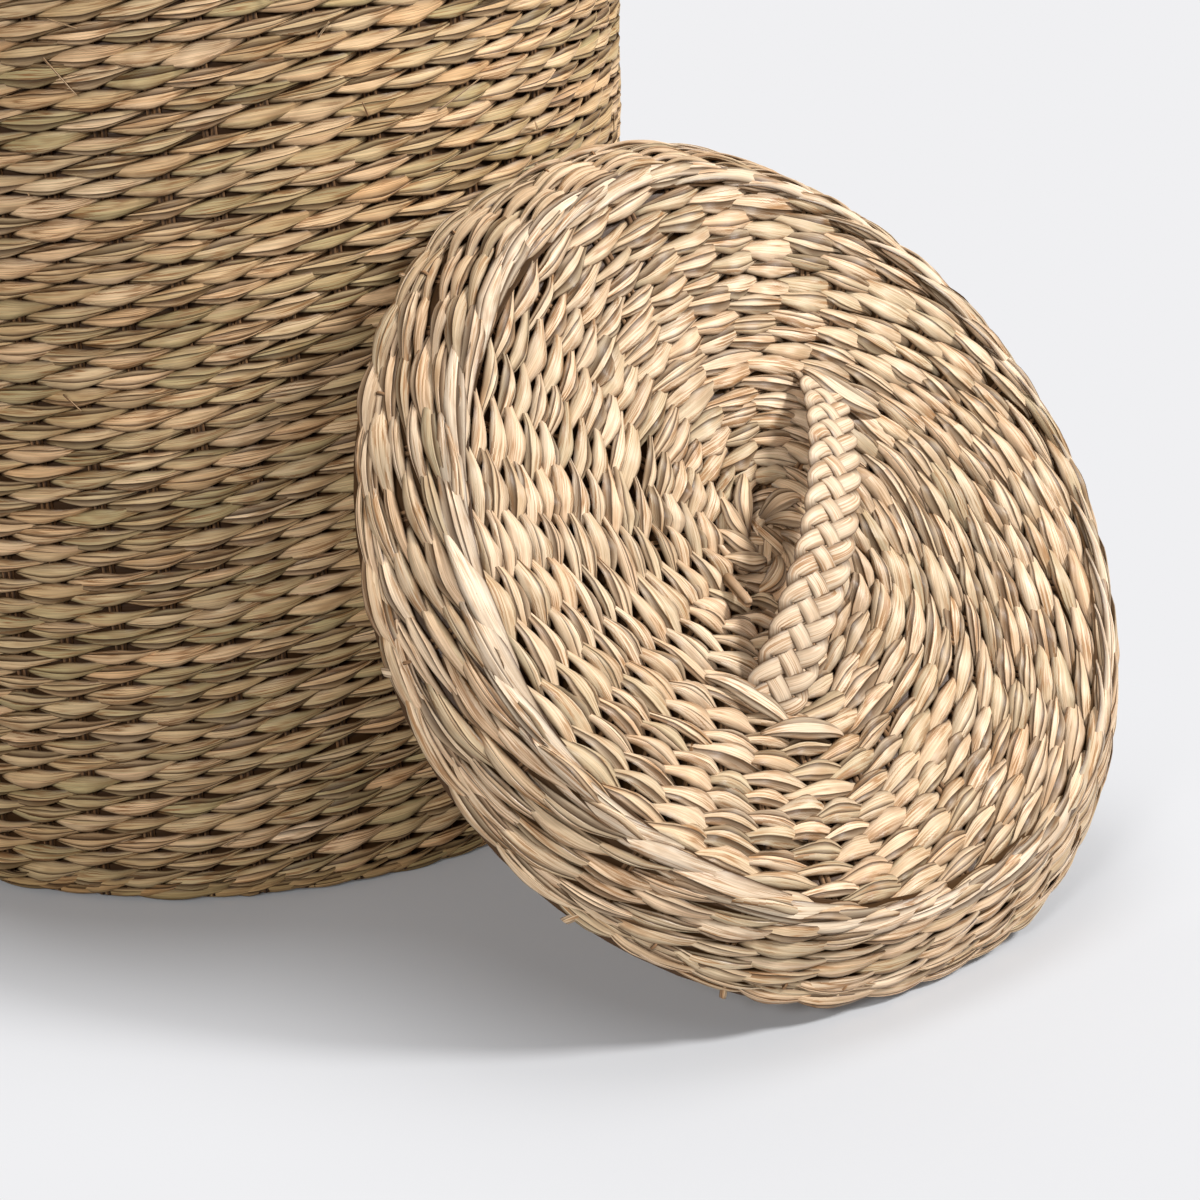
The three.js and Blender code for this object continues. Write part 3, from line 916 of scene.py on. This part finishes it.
def lay_tab(weave, rng, angle):
    """The cut end of a stake's leaf, which stands out a little beyond the lid's border."""
    slants = np.linspace(35.0, rng.uniform(39.8, 41.2), 5)
    spots = np.array([lid_side_point(slant, 1.3) for slant in slants])
    angles = angle + np.linspace(0, rng.uniform(-0.02, 0.02), 5)
    out = outward(angles)
    path = round_path(spots[:, 0], angles, spots[:, 1])
    beside = np.cross(UP, out)
    normal = -unit(np.cross(beside, np.gradient(path, axis=0)))
    normal *= np.sign((normal * out).sum(1))[:, None]
    half = np.array([0.8, 1.0, 1.0, 1.0, 0.9]) * rng.uniform(1.2, 2.0)
    weave.ribbon(path, beside, normal, half, np.full(5, 0.6),
                 even_folds(5, (-0.4, 0.4), (-0.2, 0.0, -0.2)),
                 leaf_tones(rng, (0.3, 0.5), 0.12, 5), slants, False)


def make_lid_stakes(straw):
    """Pairs of stakes in the lid's top and side, and thin ends that come out above the border."""
    rng = np.random.default_rng(22)
    weave = Weave()
    reach = depth_of(LID)
    start = 5.0
    for limit, ring in lid_rings():
        surface = np.linspace(start, min(limit + 3.0, 148.0), 8)
        start = limit - 4.0
        for place in ring[:-1]:
            for side in (-1, 1):
                angle = place + LID_TWIST * surface + side * 1.3 / surface
                path = round_path(surface, angle, dish_height(surface) - reach)
                path[:, 1] += lid_aside(surface)
                tube(weave, rng, path, rng.uniform(1.0, 1.3), (0.1, rng.uniform(0.3, 0.8)))
    slants = np.linspace(4.0, 36.0, 8)
    spots = np.array([lid_side_point(slant, reach) for slant in slants])
    end_slants = np.array([27.0, 28.2, 29.4, 30.6, 31.6])
    end_insets = (4.0, 2.0, 0.9, 0.6, 1.0)
    ends = np.array([lid_side_point(*spot) for spot in zip(end_slants, end_insets)])
    for place in side_ring()[:-1]:
        for side in (-1, 1):
            angle = place + SIDE_TWIST * slants + side * 1.3 / spots[:, 0]
            path = round_path(spots[:, 0], angle, spots[:, 1])
            tube(weave, rng, path, rng.uniform(1.0, 1.3), (0.1, rng.uniform(0.3, 0.8)))
        if rng.random() < 0.4:
            angle = place + rng.uniform(0.02, 0.05) + rng.uniform(-0.003, 0) * (end_slants - 27)
            path = round_path(ends[:, 0], angle, ends[:, 1])
            tube(weave, rng, path, rng.uniform(0.65, 0.9), (0.0, 1.0))
    add_piece(weave, "lid_stakes", straw, "lid", "stake")


def handle_path():
    """Points along the strap's middle in the lid's frame, from tail to tail: (way, height)."""
    def ground(way):
        x = HANDLE_CENTRE[0] + way * math.cos(HANDLE_TURN)
        y = HANDLE_CENTRE[1] + way * math.sin(HANDLE_TURN)
        return dish_height(math.hypot(x, y))

    ways = np.linspace(-HANDLE_FOOT, HANDLE_FOOT, 121)
    first, last = ground(-HANDLE_FOOT), ground(HANDLE_FOOT)
    foot_level = np.where(ways < 0, first, last)
    levels = HANDLE_RISE + (foot_level - HANDLE_RISE) * (ways / HANDLE_FOOT) ** 2
    tail, tuck = HANDLE_FOOT + HANDLE_TAIL, HANDLE_FOOT + TUCK_RUN
    ways = np.concatenate([[-tail, -tuck], ways, [tuck, tail]])
    levels = np.concatenate([
        [ground(-tail) - TAIL_DROP, first - TUCK_DROP], levels,
        [last - TUCK_DROP, ground(tail) - TAIL_DROP],
    ])
    along = np.concatenate([[0], np.cumsum(np.hypot(np.diff(ways), np.diff(levels)))])
    even = np.arange(0, along[-1], HANDLE_STEP)
    line = np.stack([np.interp(even, along, ways), np.interp(even, along, levels)], 1)
    for _ in range(3):
        line[1:-1] = (line[:-2] + 2 * line[1:-1] + line[2:]) / 4
    return even, line


def make_handle(materials):
    """A flat plait of four leaves: each goes over one and under the next, and turns at the edge."""
    rng = np.random.default_rng(31)
    even, line = handle_path()
    count = len(even)
    way = np.array([math.cos(HANDLE_TURN), math.sin(HANDLE_TURN), 0.0])
    beside = np.array([-math.sin(HANDLE_TURN), math.cos(HANDLE_TURN), 0.0])
    slope = unit(np.gradient(line, axis=0))
    ahead = slope[:, :1] * way + slope[:, 1:] * UP
    normal = -slope[:, 1:] * way + slope[:, :1] * UP
    middle = line[:, :1] * way + line[:, 1:] * UP + np.array([*HANDLE_CENTRE, 0.0])
    weave = Weave()
    for strand in range(PLAIT_STRANDS):
        turn = (2 * even / PLAIT_PERIOD + 2 * strand / PLAIT_STRANDS) % 2
        swing = 1 - 2 * np.abs(turn - 1)
        swing = np.sin(swing * math.pi / 2) * 0.6 + swing * 0.4
        sideways = np.interp(even, [0, even[-1]], PLAIT_REACH) * swing
        fine = np.interp(turn, PLAIT_TURNS, PLAIT_DEPTHS)
        soft = np.convolve(np.pad(fine, 2, "edge"), np.array([1, 2, 3, 2, 1]) / 9, "valid")
        # Painted shade where a leaf goes under the others
        under = 0.85 * smooth((0.1 - soft) / 0.7)[:, None]
        heading = unit(ahead + beside * np.gradient(sideways, even)[:, None])
        path = middle + beside * sideways[:, None] + normal * (soft * 1.5 + 0.7)[:, None]
        edge = np.abs(swing) ** 5
        half = 3.9 - 1.2 * edge + 0.2 * np.sin(even / 9 + strand)
        folds = even_folds(count, [rng.uniform(-0.55, -0.3), rng.uniform(0.3, 0.55)])
        tones = leaf_tones(rng, (0.1, 0.35), (0.06, 0.15), count)
        weave.ribbon(path, np.cross(normal, heading), normal, half, 0.8 + 0.35 * edge, folds, tones,
                     even, False, under)
    for start, end, bow, half in COVER_LEAVES:
        lay_leaf(weave, rng, start, end, bow, half)
    add_piece(weave, "handle_plait", materials["pale"], "lid", "pale_straw", "handle_strap")


def make_stub(materials):
    """The broken end of a stake that stands out of the lid's weave."""
    rng = np.random.default_rng(41)
    start = np.array([
        STUB_DISTANCE * math.cos(STUB_BEARING), STUB_DISTANCE * math.sin(STUB_BEARING),
        dish_height(STUB_DISTANCE) + STUB_RADIUS * math.sin(STUB_LEAN) + 0.3,
    ])
    way = np.array([
        math.sin(STUB_LEAN) * math.cos(STUB_HEADING), math.sin(STUB_LEAN) * math.sin(STUB_HEADING),
        math.cos(STUB_LEAN),
    ])
    shares = np.array([-0.35, 0, 0.3, 0.55, 0.62, 0.68, 0.85, 0.97, 1.0])
    sizes = np.array([1.0, 1.0, 0.98, 1.0, 1.12, 1.0, 0.98, 0.85, 0.45]) * STUB_RADIUS
    weave = Weave()
    tube(weave, rng, start + way * (shares * STUB_LENGTH)[:, None], sizes, (0.0, 0.1))
    add_piece(weave, "broken_stake", materials["lid"], "lid", "stake", "lid_stake_end")


def fill_socket(tree, socket, value):
    """Links a node's output to the socket, or sets the socket to a value."""
    if isinstance(value, bpy.types.NodeSocket):
        tree.links.new(value, socket)
    else:
        socket.default_value = value


def socket_mix(tree, factor, first, second, blend="MIX"):
    node = tree.nodes.new("ShaderNodeMix")
    node.data_type = "RGBA"
    node.blend_type = blend
    for index, value in ((0, factor), (6, first), (7, second)):
        fill_socket(tree, node.inputs[index], value)
    return node.outputs[2]


def socket_range(tree, value, low, high, to_low, to_high):
    node = tree.nodes.new("ShaderNodeMapRange")
    node.interpolation_type = "SMOOTHSTEP"
    for index, number in enumerate((value, low, high, to_low, to_high)):
        fill_socket(tree, node.inputs[index], number)
    return node.outputs[0]


def socket_math(tree, operation, *values):
    node = tree.nodes.new("ShaderNodeMath")
    node.operation = operation
    for socket, value in zip(node.inputs, values):
        fill_socket(tree, socket, value)
    return node.outputs[0]


def leaf_noise(tree, uv, stretch, detail, seed):
    mapping = tree.nodes.new("ShaderNodeMapping")
    mapping.inputs["Scale"].default_value = stretch
    mapping.inputs["Location"].default_value = (seed, seed * 0.37, seed * 1.3)
    tree.links.new(uv, mapping.inputs["Vector"])
    noise = tree.nodes.new("ShaderNodeTexNoise")
    noise.inputs["Scale"].default_value = 1.0
    noise.inputs["Detail"].default_value = detail
    tree.links.new(mapping.outputs[0], noise.inputs["Vector"])
    return noise.outputs["Fac"]


def straw_material(name, warm, pale, olive, brown_and_shade, roughness, fibre):
    """Dried leaf: its layer's own tone, long fibres, uneven browning, specks and painted shade."""
    warm, pale, olive, brown_and_shade = ((*colour, 1.0) for colour in (warm, pale, olive, brown_and_shade))
    material = bpy.data.materials.new(name)
    material.use_nodes = True
    tree = material.node_tree
    shader = tree.nodes["Principled BSDF"]
    uv = tree.nodes.new("ShaderNodeUVMap")
    uv.uv_map = "leaf"
    tone = tree.nodes.new("ShaderNodeAttribute")
    tone.attribute_name = "leaf_tone_and_shade"
    split = tree.nodes.new("ShaderNodeSeparateColor")
    tree.links.new(tone.outputs["Color"], split.inputs[0])
    to_olive, to_pale, to_painted_shade = split.outputs[0], split.outputs[1], split.outputs[2]
    fibres, threads, patches, specks, lines = (
        leaf_noise(tree, uv.outputs[0], *noise)
        for noise in (FIBRE_NOISE, THREAD_NOISE, PATCH_NOISE, SPECK_NOISE, LINE_NOISE))

    colour = socket_mix(tree, to_pale, warm, pale)
    colour = socket_mix(tree, to_olive, colour, olive)
    darker = socket_range(tree, fibres, 0.35, 0.65, 1.0 - fibre, 1.0 + fibre * 0.6)
    grey = tree.nodes.new("ShaderNodeCombineColor")
    for index in range(3):
        tree.links.new(darker, grey.inputs[index])
    colour = socket_mix(tree, 1.0, colour, grey.outputs[0], "MULTIPLY")
    brown = socket_range(tree, patches, *BROWN_RANGE)
    colour = socket_mix(tree, brown, colour, brown_and_shade)
    spot = socket_range(tree, specks, *SPECK_RANGE)
    colour = socket_mix(tree, spot, colour, brown_and_shade)
    offset = socket_math(tree, "ABSOLUTE", socket_math(tree, "SUBTRACT", lines, 0.5))
    line = socket_range(tree, offset, *LINE_RANGE)
    lined = socket_range(tree, patches, *LINED_RANGE)
    colour = socket_mix(tree, socket_math(tree, "MULTIPLY", line, lined), colour, brown_and_shade)
    # Painted shade: the tone's third channel darkens the colour towards a deep brown
    dark = (*(channel * PAINTED_SHADE_DARKNESS for channel in brown_and_shade[:3]), 1.0)
    colour = socket_mix(tree, to_painted_shade, colour, dark)
    tree.links.new(colour, shader.inputs["Base Color"])

    shader.inputs["Specular IOR Level"].default_value = GLOSS
    rough = socket_range(tree, threads, 0.3, 0.7, roughness - 0.08, roughness + 0.08)
    tree.links.new(rough, shader.inputs["Roughness"])
    bump = tree.nodes.new("ShaderNodeBump")
    bump.inputs["Strength"].default_value = BUMP_STRENGTH
    bump.inputs["Distance"].default_value = BUMP_DEPTH * MM
    tree.links.new(socket_mix(tree, 0.4, fibres, threads), bump.inputs["Height"])
    tree.links.new(bump.outputs[0], shader.inputs["Normal"])
    return material


def make_stage():
    """A floor that glows like the backdrop for the camera, only a little where it has shadows."""
    far = FLOOR_REACH
    mesh = bpy.data.meshes.new("floor")
    mesh.from_pydata([(-far, -far, 0), (far, -far, 0), (far, far, 0), (-far, far, 0)], [],
                     [(0, 1, 2, 3)])
    floor = bpy.data.objects.new("floor", mesh)
    bpy.context.scene.collection.objects.link(floor)
    material = bpy.data.materials.new("studio_floor")
    material.use_nodes = True
    tree = material.node_tree
    shader = tree.nodes["Principled BSDF"]
    shader.inputs["Base Color"].default_value = FLOOR_COLOUR
    shader.inputs["Roughness"].default_value = 0.9
    shader.inputs["Specular IOR Level"].default_value = 0.1
    glow = tree.nodes.new("ShaderNodeEmission")
    glow.inputs["Color"].default_value = BACKDROP
    spot = tree.nodes.new("ShaderNodeNewGeometry")
    seen = tree.nodes.new("ShaderNodeLightPath").outputs["Is Camera Ray"]
    clear = seen
    for centre, near, away in FLOOR_FADES:
        length = tree.nodes.new("ShaderNodeVectorMath")
        length.operation = "DISTANCE"
        length.inputs[1].default_value = centre
        tree.links.new(spot.outputs["Position"], length.inputs[0])
        fade = socket_range(tree, length.outputs["Value"], near, away, 0.0, 1.0)
        clear = socket_math(tree, "MULTIPLY", fade, clear)
    # Painted light: the floor keeps a little of the glow in its shadows too
    least_glow = socket_math(tree, "MULTIPLY", seen, FLOOR_LEAST_GLOW)
    mix = tree.nodes.new("ShaderNodeMixShader")
    tree.links.new(socket_math(tree, "MAXIMUM", clear, least_glow), mix.inputs[0])
    tree.links.new(shader.outputs[0], mix.inputs[1])
    tree.links.new(glow.outputs[0], mix.inputs[2])
    tree.links.new(mix.outputs[0], tree.nodes["Material Output"].inputs["Surface"])
    mesh.materials.append(material)


def make_lamp(name, place, aim, size, watts):
    lamp = bpy.data.lights.new(name, "AREA")
    lamp.shape = "DISK"
    lamp.size = size
    lamp.energy = watts
    holder = bpy.data.objects.new(name, lamp)
    holder.location = place
    holder.rotation_euler = (Vector(aim) - Vector(place)).to_track_quat("-Z", "Y").to_euler()
    bpy.context.scene.collection.objects.link(holder)


def make_light():
    world = bpy.data.worlds.new("studio")
    world.use_nodes = True
    tree = world.node_tree
    seen = tree.nodes.new("ShaderNodeLightPath").outputs["Is Camera Ray"]
    back = tree.nodes["Background"]
    tree.links.new(socket_mix(tree, seen, WORLD_LIGHT, BACKDROP), back.inputs["Color"])
    back.inputs["Strength"].default_value = 1.0
    bpy.context.scene.world = world
    for lamp in LAMPS:
        make_lamp(*lamp)


def make_camera():
    data = bpy.data.cameras.new("camera")
    data.sensor_fit = "HORIZONTAL"
    data.sensor_width = CAMERA_FRAME
    data.lens = CAMERA_LENS
    camera = bpy.data.objects.new("camera", data)
    camera.location = CAMERA_PLACE
    ahead = Vector((
        math.sin(CAMERA_TURN) * math.cos(CAMERA_DIP), math.cos(CAMERA_TURN) * math.cos(CAMERA_DIP),
        -math.sin(CAMERA_DIP)))
    camera.rotation_euler = ahead.to_track_quat("-Z", "Y").to_euler()
    bpy.context.scene.collection.objects.link(camera)
    bpy.context.scene.camera = camera


make_camera()
materials = {kind: straw_material(**straw) for kind, straw in STRAWS.items()}
make_base(materials)
make_wall(materials)
make_neck_and_rim(materials)
make_wall_stakes(materials)
make_strays(materials)
make_lid(materials)
make_handle(materials)
make_stub(materials)
make_stage()
make_light()

bpy.context.scene.view_settings.view_transform = "Standard"
